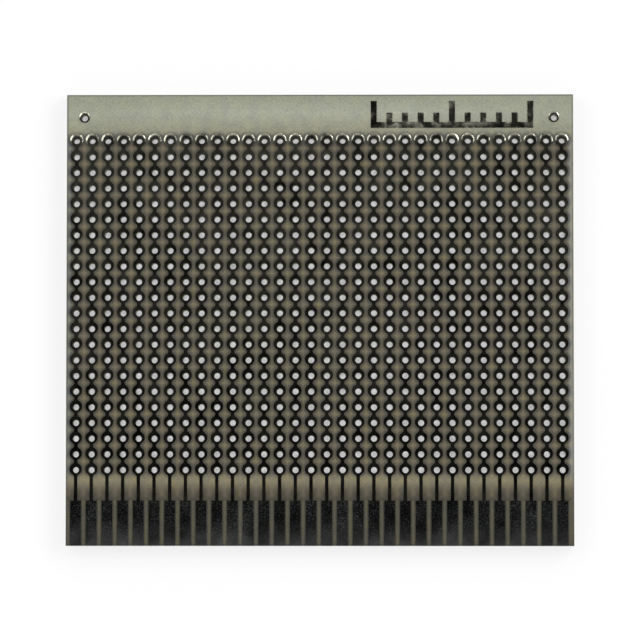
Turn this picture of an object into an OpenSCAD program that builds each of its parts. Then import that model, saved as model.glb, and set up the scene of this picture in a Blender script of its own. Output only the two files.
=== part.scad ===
// Prototype board, etched on one side: a glass-epoxy plate drilled on a square lattice,
// with one tinned copper track for each column. A track is a chain of round pads, joined by
// narrow waists, that ends in a contact finger at the front edge for an edge connector.
// Origin: middle of the bare underside. +X along the rows of holes, +Y away from the
// contact fingers, +Z out of the copper side.

/* [Laminate] */
// Width of the board, across the tracks
board_w = 82.2; // [81.8:0.1:90]
// Depth of the board, along the tracks
board_d = 73.2; // [72:0.1:80]
// Thickness of the bare glass-epoxy plate
board_t = 1.5; // [0.8:0.1:2.4]

/* [Hole lattice] */
// Distance between neighbouring holes, both ways
pitch = 2.54; // [2.5:0.01:2.54]
// Number of columns of holes, which is also the number of tracks
columns = 32; // [24:1:32]
// Number of rows of holes
rows = 22; // [12:1:22]
// Left edge of the board to the first column of pads
edge_to_first_column = 1.6; // [1.4:0.05:1.8]
// Rear edge of the board to the first row of pads
edge_to_first_row = 7.45; // [6.9:0.05:8]
// Diameter of every hole
hole_d = 1.0; // [0.8:0.05:1.1]
// Sideways error of the drilling against the etched pads
drill_shift_x = 0.02; // [-0.1:0.01:0.1]
// Lengthways error of the drilling against the etched pads
drill_shift_y = -0.16; // [-0.2:0.01:0.2]

/* [Corner pads] */
// Diameter of the two single ring pads in the rear corners
corner_pad_d = 1.8; // [1.7:0.05:2]
// Corner pads inwards from the outer columns, in pitches
corner_inset = 0.5; // [0.5:0.5:1]
// Corner pads behind the first row, in pitches
corner_behind = 1.5; // [1.4:0.1:1.7]

/* [Tracks] */
// Thickness of the copper foil with its coat of tin
metal_t = 0.07; // [0.06:0.01:0.14]
// Diameter of a pad
pad_d = 2.0; // [1.8:0.05:2.05]
// Diameter of the first pad of a track, which is larger
first_pad_d = 2.2; // [1.95:0.05:2.3]
// Distance that the first pad lies behind its place in the lattice
first_pad_shift = 0.08; // [0:0.02:0.16]
// Width of a track at its waist between two pads
waist_w = 0.48; // [0.4:0.02:0.6]
// Radius of the round flank between two pads
flank_r = 0.6; // [0.56:0.02:0.7]
// Width of the straight lead from the last pad to the finger
lead_w = 0.52; // [0.44:0.02:0.64]

/* [Solder crowns] */
// Slope at the foot of the solder that gathered on a first or corner pad, in degrees
crown_angle = 33; // [20:1:40]
// Distance from the pad's rim to the foot of that solder
crown_inset = 0.05; // [0.04:0.01:0.1]

/* [Contact fingers] */
// Width of a contact finger
finger_w = 1.7; // [1.4:0.05:2]
// Length of a contact finger, from the front edge
finger_l = 7.3; // [5:0.1:9]

/* [Scale bar] */
// Columns between the end of the copper scale bar and the last column
scale_inset = 2; // [2:1:6]
// Length of the scale bar, in pitches
scale_pitches = 10; // [4:2:10]
// Width of its strokes
scale_stroke = 0.95; // [0.6:0.05:1.1]
// Its base line behind the first row of pads
scale_behind = 2.5; // [2.3:0.1:2.9]
// Height of its end and middle ticks above the base line
scale_long_tick = 3.9; // [3:0.1:4]
// Height of its other ticks above the base line
scale_short_tick = 2.0; // [1.5:0.1:2.6]

/* [Hidden] */
function track_name(column) = str("track_", column < 9 ? "0" : "", column + 1);

round_fn = 48;
pad_r = pad_d / 2;
past = 0.5; // how far a drill runs past each face
sunk = 0.01; // how far a crown reaches down into the flat tin

// First place of the etched lattice, and the error of the drilled one
pad_x = -board_w / 2 + edge_to_first_column;
pad_y = board_d / 2 - edge_to_first_row;
last_pad_y = pad_y - (rows - 1) * pitch;
drill_shift = [drill_shift_x, drill_shift_y];

// Corner pads, in the etched lattice
corner_left_x = pad_x + corner_inset * pitch;
corner_right_x = pad_x + (columns - 1 - corner_inset) * pitch;
corner_y = pad_y + corner_behind * pitch;

// Middle of a flank's circle, and where its line to the pad's middle crosses the pad's rim
flank_x = waist_w / 2 + flank_r;
flank_y = pitch / 2;
neck_half_w = pad_r * flank_x / norm([flank_x, flank_y]);

// Drill for the pad at the origin, whose error it carries, past both faces of the board
module drill() {
    translate([drill_shift[0], drill_shift[1], -past])
        cylinder(h = board_t + 2 * past, d = hole_d, $fn = round_fn);
}

module laminate() {
    color([0.60, 0.61, 0.53])
    difference() {
        translate([-board_w / 2, -board_d / 2, 0])
            cube([board_w, board_d, board_t]);
        for (column = [0 : columns - 1], row = [0 : rows - 1])
            translate([pad_x + column * pitch, pad_y - row * pitch, 0])
                drill();
        for (x = [corner_left_x, corner_right_x])
            translate([x, corner_y, 0])
                drill();
    }
}

// Waist below the pad at the origin: a bar as long as `share` of a pitch, hollowed by
// the two flanks
module waist(share) {
    difference() {
        translate([-neck_half_w, -share * pitch])
            square([2 * neck_half_w, share * pitch]);
        for (side = [-1, 1])
            translate([side * flank_x, -flank_y])
                circle(r = flank_r, $fn = round_fn);
    }
}

// Outline of one track before drilling, with its first pad at the origin
module track_outline() {
    lead_l = last_pad_y + board_d / 2;
    translate([0, first_pad_shift])
        circle(d = first_pad_d, $fn = round_fn);
    for (row = [1 : rows - 1])
        translate([0, -row * pitch])
            circle(r = pad_r, $fn = round_fn);
    for (row = [0 : rows - 2])
        translate([0, -row * pitch])
            waist(1);
    translate([0, -(rows - 1) * pitch]) {
        waist(0.5);
        translate([-lead_w / 2, -lead_l])
            square([lead_w, lead_l]);
        translate([-finger_w / 2, -lead_l])
            square([finger_w, finger_l]);
    }
}

// Solder that gathered on a pad of this diameter: a cap of a sphere, whose slope at the
// foot is crown_angle, from a little below the tin's face
module crown(on_pad_d) {
    foot_r = on_pad_d / 2 - crown_inset;
    sphere_r = foot_r / sin(crown_angle);
    translate([0, 0, metal_t])
        intersection() {
            translate([0, 0, -sphere_r * cos(crown_angle)])
                sphere(r = sphere_r, $fn = 2 * round_fn);
            translate([-on_pad_d / 2, -on_pad_d / 2, -sunk])
                cube([on_pad_d, on_pad_d, foot_r]);
        }
}

module track(column) {
    color([0.30, 0.31, 0.33])
    translate([pad_x + column * pitch, pad_y, board_t])
        difference() {
            union() {
                linear_extrude(height = metal_t)
                    track_outline();
                translate([0, first_pad_shift, 0])
                    crown(first_pad_d);
            }
            for (row = [0 : rows - 1])
                translate([0, -row * pitch, 0])
                    drill();
        }
}

// Single ring pad of tinned copper in a rear corner
module corner_pad(x) {
    color([0.30, 0.31, 0.33])
    translate([x, corner_y, board_t])
        difference() {
            union() {
                cylinder(h = metal_t, d = corner_pad_d, $fn = round_fn);
                crown(corner_pad_d);
            }
            drill();
        }
}

// Copper scale: a base line with a tick over each column, longer at the ends and middle
module scale_bar() {
    bar_l = scale_pitches * pitch + scale_stroke;
    first_column = columns - 1 - scale_inset - scale_pitches;
    color([0.30, 0.31, 0.33])
    translate([pad_x + first_column * pitch, pad_y + scale_behind, board_t])
        linear_extrude(height = metal_t) {
            translate([-scale_stroke / 2, -scale_stroke / 2])
                square([bar_l, scale_stroke]);
            for (tick = [0 : scale_pitches]) {
                tall = tick % (scale_pitches / 2) == 0;
                translate([tick * pitch - scale_stroke / 2, 0])
                    square([scale_stroke, tall ? scale_long_tick : scale_short_tick]);
            }
        }
}

laminate();
scale_bar();
corner_pad(corner_left_x);  // corner_pad_left
corner_pad(corner_right_x);  // corner_pad_right
for (column = [0 : columns - 1])
    track(column);
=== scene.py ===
"""Dress the prototype board: a drilled glass-epoxy plate with tinned copper tracks.

The plate, the tracks, the corner pads and the scale bar are grown by geometry trees from the
board's own sizes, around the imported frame. Lengths are in metres, in the frame of the part:
+X along the rows of holes, +Y away from the contact fingers, +Z out of the copper side.
"""

import logging
import math
from dataclasses import dataclass
from enum import Enum
from functools import cache

import bpy
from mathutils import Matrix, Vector


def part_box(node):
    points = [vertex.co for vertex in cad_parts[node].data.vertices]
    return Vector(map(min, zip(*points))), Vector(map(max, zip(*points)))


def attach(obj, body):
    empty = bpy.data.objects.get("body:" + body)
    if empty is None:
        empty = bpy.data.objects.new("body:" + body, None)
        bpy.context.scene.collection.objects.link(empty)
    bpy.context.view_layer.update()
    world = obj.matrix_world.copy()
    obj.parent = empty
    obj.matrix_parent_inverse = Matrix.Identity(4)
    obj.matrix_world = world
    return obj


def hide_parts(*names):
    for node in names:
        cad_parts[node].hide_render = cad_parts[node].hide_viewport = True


MM = 0.001
BODY = "root"
TIN_SLOT = "tinned_copper"
EPOXY_SLOT = "glass_epoxy"
WELD = 0.002 * MM
SMOOTH_ANGLE = math.radians(40)

log = logging.getLogger("prototype_board")
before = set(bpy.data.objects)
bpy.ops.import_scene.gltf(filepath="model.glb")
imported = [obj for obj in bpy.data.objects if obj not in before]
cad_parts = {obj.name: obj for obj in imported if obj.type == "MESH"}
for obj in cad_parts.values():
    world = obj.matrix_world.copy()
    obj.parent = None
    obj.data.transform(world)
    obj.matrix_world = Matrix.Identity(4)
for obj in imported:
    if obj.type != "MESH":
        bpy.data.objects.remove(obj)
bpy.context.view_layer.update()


@cache
def cad_box(node: str) -> tuple[Vector, Vector]:
    """Lowest and highest corner of a CAD node."""
    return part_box(node)


class SocketKind(Enum):
    """Kinds of socket that a tree or a group offers."""

    FLOAT = "NodeSocketFloat"
    INT = "NodeSocketInt"
    VECTOR = "NodeSocketVector"
    GEOMETRY = "NodeSocketGeometry"
    MATERIAL = "NodeSocketMaterial"


class TreeKind(Enum):
    """The two kinds of node tree that the script builds."""

    SHAPE = "GeometryNodeTree"
    SHADER = "ShaderNodeTree"


class Field:
    """A number that varies over a shape or a surface, with the usual operators."""

    def __init__(self, graph: "Graph", socket: bpy.types.NodeSocket) -> None:
        """Hold a socket of a graph."""
        self.graph = graph
        self.socket = socket

    def math(self, operation: str, *others: "Operand") -> "Field":
        """Join this number with others in a Math node.

        Args:
            operation: Blender's name of the operation.
            others: The other operands.

        Returns:
            The result.
        """
        inputs = dict(enumerate((self, *others)))
        return self.graph.out(self.graph.add("ShaderNodeMath", inputs, operation=operation))

    def __add__(self, other: "Operand") -> "Field":
        """Sum."""
        return self.math("ADD", other)

    def __sub__(self, other: "Operand") -> "Field":
        """Difference."""
        return self.math("SUBTRACT", other)

    def __rsub__(self, other: "Operand") -> "Field":
        """Difference from a number."""
        return self.math("MULTIPLY", -1.0) + other

    def __mul__(self, other: "Operand") -> "Field":
        """Product."""
        return self.math("MULTIPLY", other)

    def __truediv__(self, other: "Operand") -> "Field":
        """Quotient."""
        return self.math("DIVIDE", other)

    __radd__ = __add__
    __rmul__ = __mul__

    def __abs__(self) -> "Field":
        """Size without its sign."""
        return self.math("ABSOLUTE")

    def root(self) -> "Field":
        """Square root, and zero below zero."""
        return self.most(0.0).math("SQRT")

    def least(self, other: "Operand") -> "Field":
        """Smaller of two."""
        return self.math("MINIMUM", other)

    def most(self, other: "Operand") -> "Field":
        """Larger of two."""
        return self.math("MAXIMUM", other)

    def over(self, other: "Operand") -> "Field":
        """One where this is the larger, else zero."""
        return self.math("GREATER_THAN", other)

    def under(self, other: "Operand") -> "Field":
        """One where this is the smaller, else zero."""
        return self.math("LESS_THAN", other)

    def floor(self) -> "Field":
        """Whole number below."""
        return self.math("FLOOR")

    def slide(self, start: "Operand", end: "Operand", low: "Operand" = 0.0,
              high: "Operand" = 1.0, soft: bool = False) -> "Field":
        """Go from low to high while this goes from start to end, and stay there.

        Args:
            start: Value at which the slide starts.
            end: Value at which it ends.
            low: Result at the start.
            high: Result at the end.
            soft: Whether both ends of the slide are eased.

        Returns:
            The result.
        """
        node = self.graph.add(
            "ShaderNodeMapRange",
            {"Value": self, "From Min": start, "From Max": end, "To Min": low, "To Max": high},
            clamp=True, interpolation_type="SMOOTHSTEP" if soft else "LINEAR")
        return self.graph.out(node)

    def ease_out(self) -> "Field":
        """Rise of a quarter round over zero to one, in a parabola's form."""
        rest = 1.0 - self.least(1.0).most(0.0)
        return 1.0 - rest * rest


Operand = Field | float


def floats(*names: str) -> dict[str, tuple[SocketKind, float]]:
    """Number inputs of a tree, with these names."""
    return {name: (SocketKind.FLOAT, 0.0) for name in names}


class Graph:
    """A node tree under construction, with short ways to add and join nodes."""

    def __init__(self, name: str, kind: TreeKind,
                 inputs: dict[str, tuple[SocketKind, float | None]],
                 outputs: dict[str, SocketKind]) -> None:
        """Start a tree.

        Args:
            name: Name of the tree.
            kind: Geometry or shader.
            inputs: Kind and first value of each named input.
            outputs: Kind of each named output.
        """
        self.tree = bpy.data.node_groups.new(name, kind.value)
        self.kind = kind
        for label, (socket_kind, value) in inputs.items():
            socket = self.tree.interface.new_socket(label, in_out="INPUT",
                                                    socket_type=socket_kind.value)
            if value is not None:
                socket.default_value = value
        for label, socket_kind in outputs.items():
            self.tree.interface.new_socket(label, in_out="OUTPUT", socket_type=socket_kind.value)
        self.start = self.tree.nodes.new("NodeGroupInput")
        self.end = self.tree.nodes.new("NodeGroupOutput")

    def add(self, kind: str, inputs: dict | None = None, **settings: object) -> bpy.types.Node:
        """Add a node.

        Args:
            kind: Blender's name of the node's type.
            inputs: Values, fields or sockets for its inputs, by name or number.
            settings: Properties of the node.

        Returns:
            The node.
        """
        node = self.tree.nodes.new(kind)
        for name, value in settings.items():
            setattr(node, name, value)
        for key, value in (inputs or {}).items():
            self.feed(node.inputs[key], value)
        return node

    def feed(self, socket: bpy.types.NodeSocket, value: object) -> None:
        """Join a socket to a field or to another socket, or set its value.

        Args:
            socket: Input to feed.
            value: The field, socket or value.
        """
        if isinstance(value, Field):
            value = value.socket
        if isinstance(value, bpy.types.NodeSocket):
            self.tree.links.new(value, socket)
        else:
            socket.default_value = value

    def out(self, node: bpy.types.Node, output: int | str = 0) -> Field:
        """Output of a node, as a field."""
        return Field(self, node.outputs[output])

    def given(self, name: str) -> Field:
        """Named input of the tree, as a field."""
        return Field(self, self.start.outputs[name])

    def hand_over(self, **results: object) -> None:
        """Join the tree's outputs, whose names have underscores for spaces."""
        for name, value in results.items():
            self.feed(self.end.inputs[name.replace("_", " ")], value)

    def place(self, group: "Graph", inputs: dict) -> bpy.types.Node:
        """Add a node that runs another tree.

        Args:
            group: The other tree.
            inputs: Values for its inputs, by name.

        Returns:
            The node.
        """
        kind = {TreeKind.SHAPE: "GeometryNodeGroup", TreeKind.SHADER: "ShaderNodeGroup"}
        node = self.tree.nodes.new(kind[self.kind])
        node.node_tree = group.tree
        for name, value in inputs.items():
            self.feed(node.inputs[name], value)
        return node

    def split(self, vector: object) -> tuple[Field, Field, Field]:
        """X, Y and Z of a vector."""
        node = self.add("ShaderNodeSeparateXYZ", {0: vector})
        return self.out(node, 0), self.out(node, 1), self.out(node, 2)

    def vector(self, x: Operand, y: Operand, z: Operand) -> bpy.types.NodeSocket:
        """Vector of three numbers."""
        return self.add("ShaderNodeCombineXYZ", {0: x, 1: y, 2: z}).outputs[0]


class ShapeGraph(Graph):
    """A geometry tree."""

    def __init__(self, name: str, inputs: dict[str, tuple[SocketKind, float | None]]) -> None:
        """Start a tree that puts out one geometry."""
        super().__init__(name, TreeKind.SHAPE, inputs, {"Mesh": SocketKind.GEOMETRY})

    def position(self) -> tuple[Field, Field, Field]:
        """X, Y and Z of the point or face at hand."""
        return self.split(self.add("GeometryNodeInputPosition").outputs[0])

    def grid(self, across: Operand, along: Operand) -> bpy.types.NodeSocket:
        """Flat grid of one by one metre, with these numbers of points in X and Y."""
        node = self.add("GeometryNodeMeshGrid", {"Size X": 1.0, "Size Y": 1.0,
                                                 "Vertices X": across, "Vertices Y": along})
        return node.outputs["Mesh"]

    def move(self, mesh: object, x: Operand, y: Operand, z: Operand) -> bpy.types.NodeSocket:
        """Put each point of a mesh at a new place."""
        node = self.add("GeometryNodeSetPosition",
                        {"Geometry": mesh, "Position": self.vector(x, y, z)})
        return node.outputs[0]

    def shift(self, mesh: object, x: Operand, y: Operand, z: Operand) -> bpy.types.NodeSocket:
        """Shift a mesh as a whole."""
        node = self.add("GeometryNodeTransform",
                        {"Geometry": mesh, "Translation": self.vector(x, y, z)})
        return node.outputs[0]

    def drop(self, mesh: object, faces: Field) -> bpy.types.NodeSocket:
        """Delete the chosen faces."""
        node = self.add("GeometryNodeDeleteGeometry", {"Geometry": mesh, "Selection": faces},
                        domain="FACE")
        return node.outputs[0]

    def join(self, *parts: object) -> bpy.types.NodeSocket:
        """Join parts, and weld their points that meet.

        Args:
            parts: The parts' meshes.

        Returns:
            The joined mesh.
        """
        node = self.add("GeometryNodeJoinGeometry")
        for part in reversed(parts):
            self.tree.links.new(part, node.inputs[0])
        weld = self.add("GeometryNodeMergeByDistance",
                        {"Geometry": node.outputs[0], "Distance": WELD})
        return weld.outputs[0]

    def repeat(self, points: object, part: object) -> bpy.types.NodeSocket:
        """Put a copy of a part on each point, as real mesh."""
        node = self.add("GeometryNodeInstanceOnPoints", {"Points": points, "Instance": part})
        return self.add("GeometryNodeRealizeInstances", {0: node.outputs[0]}).outputs[0]

    def line(self, count: Operand, start: object, step: object) -> bpy.types.NodeSocket:
        """Row of points."""
        node = self.add("GeometryNodeMeshLine",
                        {"Count": count, "Start Location": start, "Offset": step}, mode="OFFSET")
        return node.outputs[0]

    def finish(self, mesh: object, material: object, cut: object = None,
               is_cut: Field | None = None) -> None:
        """End the tree: shade smooth between creases, and set the material.

        Args:
            mesh: The finished mesh.
            material: Its material.
            cut: Another material for some of its faces.
            is_cut: Which faces those are.
        """
        edge_angle = self.out(self.add("GeometryNodeInputMeshEdgeAngle"))
        faces = self.add("GeometryNodeSetShadeSmooth",
                         {"Geometry": mesh, "Shade Smooth": True}, domain="FACE")
        edges = self.add("GeometryNodeSetShadeSmooth",
                         {"Geometry": faces.outputs[0], "Selection": edge_angle.over(SMOOTH_ANGLE),
                          "Shade Smooth": False}, domain="EDGE")
        real = self.add("GeometryNodeRealizeInstances", {0: edges.outputs[0]})
        painted = self.add("GeometryNodeSetMaterial",
                           {"Geometry": real.outputs[0], "Material": material})
        if cut is not None:
            painted = self.add("GeometryNodeSetMaterial",
                               {"Geometry": painted.outputs[0], "Selection": is_cut,
                                "Material": cut})
        self.hand_over(Mesh=painted.outputs[0])


def grow(name: str, tree: Graph, values: dict[str, object]) -> bpy.types.Object:
    """Run a geometry tree and keep its result as a plain mesh.

    Args:
        name: Name of the piece.
        tree: The geometry tree.
        values: Values of the tree's inputs, by name.

    Returns:
        An object at the origin that holds the mesh.
    """
    piece = bpy.data.objects.new(name, bpy.data.meshes.new(name + "_seed"))
    bpy.context.scene.collection.objects.link(piece)
    modifier = piece.modifiers.new("grow", "NODES")
    modifier.node_group = tree.tree
    sockets = {item.name: item.identifier for item in tree.tree.interface.items_tree
               if item.item_type == "SOCKET" and item.in_out == "INPUT"}
    for label, value in values.items():
        modifier[sockets[label]] = value
    depsgraph = bpy.context.evaluated_depsgraph_get()
    mesh = bpy.data.meshes.new_from_object(piece.evaluated_get(depsgraph))
    piece.modifiers.remove(modifier)
    piece.data = mesh
    mesh.name = name
    return piece


def hand_in(piece: bpy.types.Object, slot: str, *nodes: str) -> None:
    """Let a piece ride on the body, in the place of its CAD nodes, and report it.

    Args:
        piece: The piece.
        slot: Its material slot; not used.
        nodes: The CAD nodes.
    """
    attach(piece, BODY)
    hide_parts(*nodes)
    log.info("%s: %d faces", piece.name, len(piece.data.polygons))


@dataclass(frozen=True)
class Plan:
    """Sizes of the board. Places are worked out from the frame."""

    pitch: float = 2.54 * MM
    columns: int = 32
    rows: int = 22
    hole_radius: float = 0.5 * MM
    drill_x: float = 0.02 * MM
    drill_y: float = -0.16 * MM
    pad_radius: float = 1.0 * MM
    first_pad_radius: float = 1.1 * MM
    first_pad_shift: float = 0.08 * MM
    corner_pad_radius: float = 0.9 * MM
    waist_width: float = 0.48 * MM
    flank_radius: float = 0.6 * MM
    lead_width: float = 0.52 * MM
    finger_width: float = 1.7 * MM
    finger_length: float = 7.3 * MM

    @property
    def low(self) -> Vector:
        """Lowest corner of the plate."""
        return cad_box("laminate")[0]

    @property
    def high(self) -> Vector:
        """Highest corner of the plate."""
        return cad_box("laminate")[1]

    def middle(self, node: str) -> Vector:
        """Middle of a CAD node's box."""
        low, high = cad_box(node)
        return (low + high) / 2

    def track(self, column: int) -> str:
        """Name of a track, whose column is counted from one."""
        return f"track_{column:02d}"

    @property
    def first_x(self) -> float:
        """Middle of the first column of pads."""
        return self.middle(self.track(1)).x

    @property
    def first_y(self) -> float:
        """Middle of the first row of pads."""
        return cad_box(self.track(1))[1].y - self.first_pad_radius - self.first_pad_shift

    @property
    def last_y(self) -> float:
        """Middle of the last row of pads."""
        return self.first_y - (self.rows - 1) * self.pitch


PLAN = Plan()


@dataclass(frozen=True)
class TinRelief:
    """Heights and widths of the tin on the copper, above the plate."""

    rim: float = 0.03 * MM
    dome: float = 0.038 * MM
    dome_width: float = 0.24 * MM
    crown_dome: float = 0.005 * MM
    crown_dome_width: float = 0.12 * MM
    crown_angle: float = math.radians(33)
    crown_inset: float = 0.01 * MM
    flat_sphere: float = 1.0
    crater: float = 0.015 * MM
    crown_crater: float = 0.11 * MM
    crown_lip: float = 0.1 * MM
    crater_width: float = 0.2 * MM
    ripple: float = 0.008 * MM
    ripple_scale: float = 900.0

    def crown_sphere(self, pad_radius: float) -> float:
        """Radius of the sphere whose cap is the crown of a pad."""
        return (pad_radius - self.crown_inset) / math.sin(self.crown_angle)


RELIEF = TinRelief()


class PadCell:
    """Geometry tree of one drilled pad, with half of the waist above it and below it.

    The cell is a closed ring of points for each angle: up the wall of the hole, over the tin,
    down the outer wall and back along the plate. It is open where it meets the next cell.
    """

    CAP_STEPS = 1
    FLANK_STEPS = 2
    ARC_STEPS = 3
    CLOSING_STEPS = 3
    SPREAD = 1.8
    NEARLY = 0.99999

    def __init__(self) -> None:
        """Build the tree."""
        sizes = floats("Pad Radius", "Pad Shift", "Upper Waist", "Lower Waist", "Flank Radius",
                       "Pitch", "Hole Radius", "Drill X", "Drill Y", "Rim", "Dome", "Pad Dome",
                       "Dome Width", "Crown Sphere", "Crown Inset", "Crater", "Crater Width")
        self.graph = ShapeGraph("Pad Cell", {**sizes, "Rings": (SocketKind.INT, 3)})
        self._build()

    def _angle(self, fold: Field, cap_angle: Field, flank_angle: Field) -> Field:
        """Angle off the track's own direction, for a quarter turn's share of the points.

        Args:
            fold: Zero on the track's line, one square to it.
            cap_angle: Angle of the waist's corner, where two cells meet.
            flank_angle: Angle of the middle of the flank's circle.

        Returns:
            The angle.
        """
        steps = self.CAP_STEPS + self.FLANK_STEPS + self.ARC_STEPS
        cap_end = self.CAP_STEPS / steps
        flank_end = (self.CAP_STEPS + self.FLANK_STEPS) / steps
        return (fold.slide(0.0, cap_end, 0.0, cap_angle)
                + fold.slide(cap_end, flank_end, 0.0, flank_angle - cap_angle)
                + fold.slide(flank_end, 1.0, 0.0, math.pi / 2 - flank_angle))

    def _build(self) -> None:
        """Add the nodes."""
        g = self.graph
        rings = g.given("Rings")
        around = 4 * (self.CAP_STEPS + self.FLANK_STEPS + self.ARC_STEPS) + 1
        last_step = rings + float(self.CLOSING_STEPS)
        grid = g.grid(around, last_step + 1.0)
        u, v, _ = g.position()
        turn = (u + 0.5) * 4.0
        step = ((v + 0.5) * last_step).math("ROUND")

        side = 1.0 - turn.over(2.0) * 2.0
        below = abs(turn - 2.0).under(self.NEARLY)
        up = 1.0 - below * 2.0
        waist = g.given("Lower Waist") * below + g.given("Upper Waist") * (1.0 - below)
        has_waist = waist.over(WELD)
        flank_r = g.given("Flank Radius")
        flank_x = waist * 0.5 + flank_r
        flank_y = g.given("Pitch") * 0.5
        flank_angle = flank_x.math("ARCTAN2", flank_y)
        cap_angle = (waist * 0.5).math("ARCTAN2", flank_y)
        off = self._angle(turn.math("PINGPONG", 1.0), cap_angle, flank_angle)
        across = off.math("SINE")
        along = off.math("COSINE")
        way_x = across * side
        way_y = along * up

        pad_r = g.given("Pad Radius")
        pad_y = g.given("Pad Shift")
        round_edge = pad_y * way_y + (pad_r * pad_r - pad_y * pad_y * across * across).root()
        near = off.least(flank_angle)
        near_along = near.math("COSINE")
        reach = flank_x * near.math("SINE") + flank_y * near_along
        flank_far = flank_x * flank_x + flank_y * flank_y
        flank_hit = reach - (reach * reach - flank_far + flank_r * flank_r).root()
        neck_edge = flank_hit.least(flank_y / near_along) * has_waist
        edge = round_edge.most(neck_edge)

        drill_x = g.given("Drill X")
        drill_y = g.given("Drill Y")
        hole_r = g.given("Hole Radius")
        lean = drill_x * way_x + drill_y * way_y
        off_centre = drill_x * drill_x + drill_y * drill_y
        hole_edge = lean + (hole_r * hole_r - off_centre + lean * lean).root()

        share = (step - 1.0) / rings
        spread = 1.0 - (1.0 - share.most(0.0).least(1.0)).math("POWER", self.SPREAD)
        radius = hole_edge + (edge - hole_edge) * spread * step.under(rings + 2.5)
        on_top = step.over(0.5) * step.under(rings + 1.5)
        x = way_x * radius
        y = way_y * radius

        dome_width = g.given("Dome Width")
        from_pad = (x * x + (y - pad_y) * (y - pad_y)).root()
        pad_dome = ((pad_r - from_pad) / dome_width).ease_out()
        sphere = g.given("Crown Sphere")
        foot = pad_r - g.given("Crown Inset")
        cap = (foot * foot - from_pad * from_pad).most(0.0) / (
            (sphere * sphere - from_pad * from_pad).root()
            + (sphere * sphere - foot * foot).root())
        side_x = abs(x)
        to_flank_x = side_x - flank_x
        to_flank_y = abs(y) - flank_y
        neck_in = (to_flank_x * to_flank_x + to_flank_y * to_flank_y).root() - flank_r
        bar_in = pad_r * flank_x / flank_far.root() - side_x
        neck_dome = (neck_in.least(bar_in) / (waist * 0.5).most(WELD)).ease_out() * has_waist
        height = (pad_dome * g.given("Pad Dome") + cap).most(neck_dome * g.given("Dome"))
        from_hole = ((x - drill_x) * (x - drill_x) + (y - drill_y) * (y - drill_y)).root() - hole_r
        dip = 1.0 - (from_hole / g.given("Crater Width")).ease_out()
        z = (g.given("Rim") + height - dip * g.given("Crater")) * on_top

        shell = g.move(grid, x, y, z)
        _, face_y, _ = g.position()
        open_shell = g.drop(shell, abs(face_y).over(flank_y * self.NEARLY))
        g.hand_over(Mesh=g.join(open_shell))


class Tail:
    """Geometry tree of a track's lead and contact finger, swept as one closed section.

    Rows 0 and 1 are the lead, 2 to 4 the finger's rounded start, 5 its end and 6 the end's cap.
    """

    ROWS = 6
    SPREAD = 1.8
    ROUND = 0.14 * MM

    def __init__(self) -> None:
        """Build the tree."""
        self.graph = ShapeGraph("Lead And Finger", floats(
            "Pitch", "Lead Width", "Finger Width", "Start Y", "Finger Y", "End Y", "Rim", "Dome"))
        self._build()

    def _build(self) -> None:
        """Add the nodes."""
        g = self.graph
        half = float(PadCell.CAP_STEPS)
        loop = 4 * PadCell.CAP_STEPS + 2
        grid = g.grid(self.ROWS + 1, loop + 1)
        u, v, _ = g.position()
        row = ((u + 0.5) * float(self.ROWS)).math("ROUND")
        step = ((v + 0.5) * float(loop)).math("ROUND").math("MODULO", float(loop))
        on_top = step.under(2 * half + 0.5)
        top_share = step / half - 1.0
        low_share = 1.0 - (step - (2 * half + 1)) / half
        share = top_share * on_top + low_share * (1.0 - on_top)

        start_y = g.given("Start Y")
        finger_y = g.given("Finger Y")
        end_y = g.given("End Y")
        round_end = 2 * self.ROUND
        y = (start_y + row.slide(0.0, 1.0, 0.0, finger_y - start_y)
             + row.slide(2.0, 3.0, 0.0, -self.ROUND) + row.slide(3.0, 4.0, 0.0, -self.ROUND)
             + row.slide(4.0, 5.0, 0.0, end_y - finger_y + round_end))
        is_finger = row.over(1.5)
        is_cap = row.over(5.5)
        lead_half = g.given("Lead Width") * 0.5
        finger_half = g.given("Finger Width") * 0.5
        cell_end = g.given("Pitch") * 0.5
        lead_x = (lead_half.math("ARCTAN2", cell_end) * share).math("TANGENT") * cell_end
        spread = 1.0 - (1.0 - abs(share)).most(0.0).math("POWER", self.SPREAD)
        finger_x = finger_half * spread * share.math("SIGN")
        x = (lead_x + (finger_x - lead_x) * is_finger) * (1.0 - is_cap)

        lead_dome = ((lead_half - abs(x)) / lead_half).ease_out()
        finger_in = (finger_half - abs(x)).least(finger_y - y)
        finger_dome = (finger_in / self.ROUND).ease_out() * is_finger
        height = g.given("Rim") + g.given("Dome") * lead_dome.most(finger_dome)
        z = height * on_top * (1.0 - is_cap * 0.5)
        g.hand_over(Mesh=g.join(g.move(grid, x, y, z)))


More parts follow.
